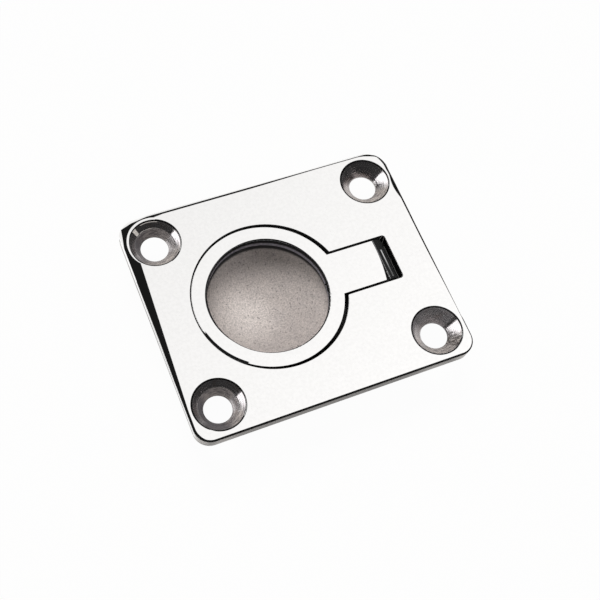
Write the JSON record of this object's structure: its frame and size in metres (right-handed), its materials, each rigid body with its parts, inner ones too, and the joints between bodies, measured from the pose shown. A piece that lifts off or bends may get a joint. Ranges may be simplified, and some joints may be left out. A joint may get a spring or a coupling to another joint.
{
  "type": "recessed pull handle",
  "caption": "Recessed pull handle: a polished cast plate with a round dished hollow behind a flush hinged ring, and countersunk screw holes at its corners.",
  "frame": {"origin": "middle of the plate and of its screw pattern, on the mounting face under the plate", "axes": "+X from the ring towards the hinge, +Y across the plate along the hinge pin, +Z out of the exposed face"},
  "size_m": [0.0482, 0.04, 0.0082],
  "materials": {
    "polished_cast_steel": "cast stainless steel, its exposed face mirror-polished, its hollow and underside satin",
    "polished_ring_steel": "cast stainless steel, mirror-polished",
    "pin_steel": "drawn stainless wire, plain"
  },
  "bodies": {
    "base": {"base_casting": "polished_cast_steel", "hinge_pin": "pin_steel"},
    "ring": {"pull_ring": "polished_ring_steel"}
  },
  "joints": [
    {"name": "ring_lift", "type": "hinge", "parent": "base", "child": "ring", "pos_m": [0.01545, 0, 0.0005], "axis": [0, 1, 0], "range_deg": [0, 93]}
  ]
}
